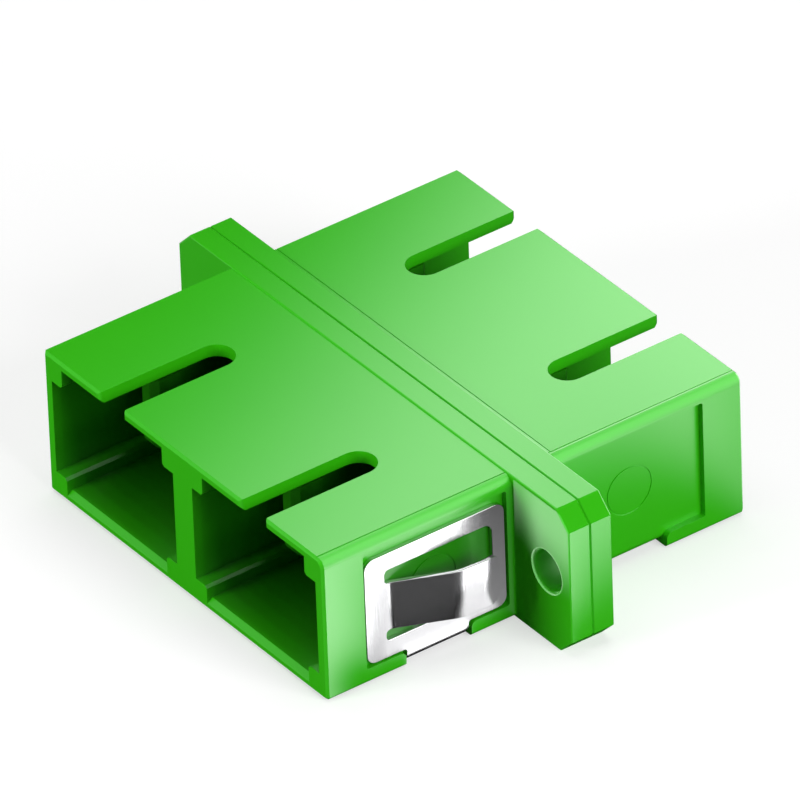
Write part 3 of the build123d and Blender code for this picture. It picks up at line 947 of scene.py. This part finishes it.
# %% The shade sheet
SHADE_LEVEL = 0.05
SIDE_WALL_X = 12.5
MIRROR_RIGHT, MIRROR_REAR = 1.185, 0.835
EAR_Y, EAR_WALL_Y = (-1.6, -1.2), (-5.0, -4.6)
LEFT_SIDE_FROM = -13.0
SHADE_X_LINES = np.concatenate([np.linspace(-40.0, 12.0, 53), np.linspace(12.2, 45.0, 165)])
SHADE_Y_LINES = np.concatenate([
    np.linspace(-40.0, -17.0, 24), np.linspace(-16.8, 30.0, 235), np.linspace(31.0, 45.0, 15)])


def foot_darkness(x, y):
    """How dark the sheet is at a spot, from the wall point that mirrors it.

    The wall point's height is the distance from the wall over the share that a
    ray goes to the right, and its Y lies back by the share that it goes to the
    rear. Before the mouths all is dark, and beside the left wall all is clear.
    """
    height = (x - SIDE_WALL_X) / MIRROR_RIGHT
    wall_y = y - MIRROR_REAR * height
    before = np.where(wall_y < CLIP_Y[0], before_clip(height, wall_y), on_clip(height, wall_y))
    behind = smooth(y, *EAR_Y) * smooth(wall_y, *EAR_WALL_Y)
    darkness = before * (1.0 - behind) + behind_ear(x, y, wall_y) * behind
    before_mouths = (x < SIDE_WALL_X) & (y < 0.0)
    beside_left = (x < -SIDE_WALL_X) & (y > LEFT_SIDE_FROM)
    return np.where(beside_left, 0.0, np.where(before_mouths, 1.0, darkness))


shade_x, shade_y = np.meshgrid(SHADE_X_LINES, SHADE_Y_LINES)
shade_points = np.stack([shade_x, shade_y, np.full_like(shade_x, SHADE_LEVEL)], axis=-1) * MM
shade_finish, shade_tree, shade_shader = new_finish("foot_shade", Base_Color=BLACK, Specular_IOR_Level=0.0)
shade_amount = add_node(shade_tree, "ShaderNodeAttribute", attribute_name="glow")
shade_tree.links.new(shade_amount.outputs["Fac"], shade_shader.inputs["Alpha"])
grid_board("foot_shade", shade_points, foot_darkness(shade_x, shade_y), shade_finish)

# %% [markdown]
# ## Flags inside the ports and behind the clip
# The deep ports are almost black in the photograph. Less light in the room would
# darken the whole object, so black gauze flags do it here: each takes away a
# share of the light that passes, and the walls and floor darken step by step
# inwards. One more lies behind the clip's window. Neither the camera nor a
# reflection sees them.

# %% Hang the flags
PORT_MIDDLES, PORT_HALF, PORT_LOW, PORT_HIGH = (-6.35, 6.35), 5.0, 0.8, 8.2
FLAG_FIRST, FLAG_LAST, FLAG_COUNT, FLAG_OPACITY = -13.2, -8.2, 7, 0.26
LID_LEVEL, LID_BACK, LID_OPACITY = 8.1, -2.0, 0.65
WINDOW_FLAG_X, WINDOW_FLAG_OPACITY = 12.3, 0.55
FLAG_UNSEEN_BY = ("camera", "glossy", "transmission")


def gauze(name, corners_mm, opacity):
    """A sheet that takes away a share of the light which passes it, and is itself unseen."""
    flag = stage_sheet(name, corners_mm)
    black, _, _ = new_finish(f"{name}_black", Base_Color=BLACK, Specular_IOR_Level=0.0, Alpha=opacity)
    dress(flag, black)
    for kind in FLAG_UNSEEN_BY:
        setattr(flag, f"visible_{kind}", False)


for side, middle in zip(("left", "right"), PORT_MIDDLES):
    west, east = middle - PORT_HALF, middle + PORT_HALF
    for number, y in enumerate(np.linspace(FLAG_FIRST, FLAG_LAST, FLAG_COUNT), start=1):
        gauze(f"{side}_flag_{number}", [(west, y, PORT_LOW), (east, y, PORT_LOW),
                                        (east, y, PORT_HIGH), (west, y, PORT_HIGH)], FLAG_OPACITY)
    gauze(f"{side}_lid", [(west, FLAG_FIRST, LID_LEVEL), (east, FLAG_FIRST, LID_LEVEL),
                          (east, LID_BACK, LID_LEVEL), (west, LID_BACK, LID_LEVEL)], LID_OPACITY)
gauze("window_flag", [
    (WINDOW_FLAG_X, -WINDOW_FAR, WINDOW_LOW), (WINDOW_FLAG_X, -WINDOW_NEAR, WINDOW_LOW),
    (WINDOW_FLAG_X, -WINDOW_NEAR, WINDOW_HIGH), (WINDOW_FLAG_X, -WINDOW_FAR, WINDOW_HIGH)],
    WINDOW_FLAG_OPACITY)
print("flags hung:", 2 * FLAG_COUNT, "with 2 lids and one in the window")

# %% [markdown]
# ## Lamps
# Three large, weak lamps light the object: one overhead, the strongest to the
# right for the pale side walls, and a small one low in front for the mouths.
# Small, hard lamps would throw hard shadows, which the photograph doesn't have.
# The boards have set the reflections, so no gloss sees the lamps.

# %% Hang the lamps
LAMPS = {
    "overhead": {"place": (-60, 30, 300), "target": (0, 0, 0), "side": 300, "watts": 0.52},
    "right_side": {"place": (300, 40, 150), "target": (0, 0, 4), "side": 200, "watts": 1.0},
    "front_left": {"place": (-60, -300, 75), "target": (0, 0, 4), "side": 100, "watts": 0.71},
}


def soft_lamp(name, place, target, side, watts):
    """A square lamp at a place, turned to face a target, in millimetres."""
    data = bpy.data.lights.new(name, "AREA")
    data.shape = "RECTANGLE"
    data.size = side * MM
    data.size_y = side * MM
    data.energy = watts
    lamp = bpy.data.objects.new(name, data)
    scene.collection.objects.link(lamp)
    spot = np.array(place) * MM
    away = Vector((spot - np.array(target) * MM).tolist())
    lamp.matrix_world = Matrix.Translation(spot.tolist()) @ away.to_track_quat("Z", "Y").to_matrix().to_4x4()
    lamp.visible_glossy = False


for name, lamp in LAMPS.items():
    soft_lamp(name, **lamp)
print("lamps lit:", ", ".join(LAMPS))

# %% [markdown]
# ## The white room
# The background is white to the camera, as on the photograph's cut-out. As soft
# light it is weak, so that it fills the shadows without washing out the green.

# %% The room round it all
ROOM_SOFT_LIGHT = 0.10
room = bpy.data.worlds.new("studio")
scene.world = room
room.use_nodes = True
backdrop = room.node_tree.nodes["Background"]
room.node_tree.links.new(ranged(room.node_tree, seen_directly(room.node_tree), ROOM_SOFT_LIGHT, 1.0),
                         backdrop.inputs["Strength"])
backdrop.inputs["Color"].default_value = WHITE
scene.view_settings.view_transform = "Standard"
print("room:", ROOM_SOFT_LIGHT, "as soft light")
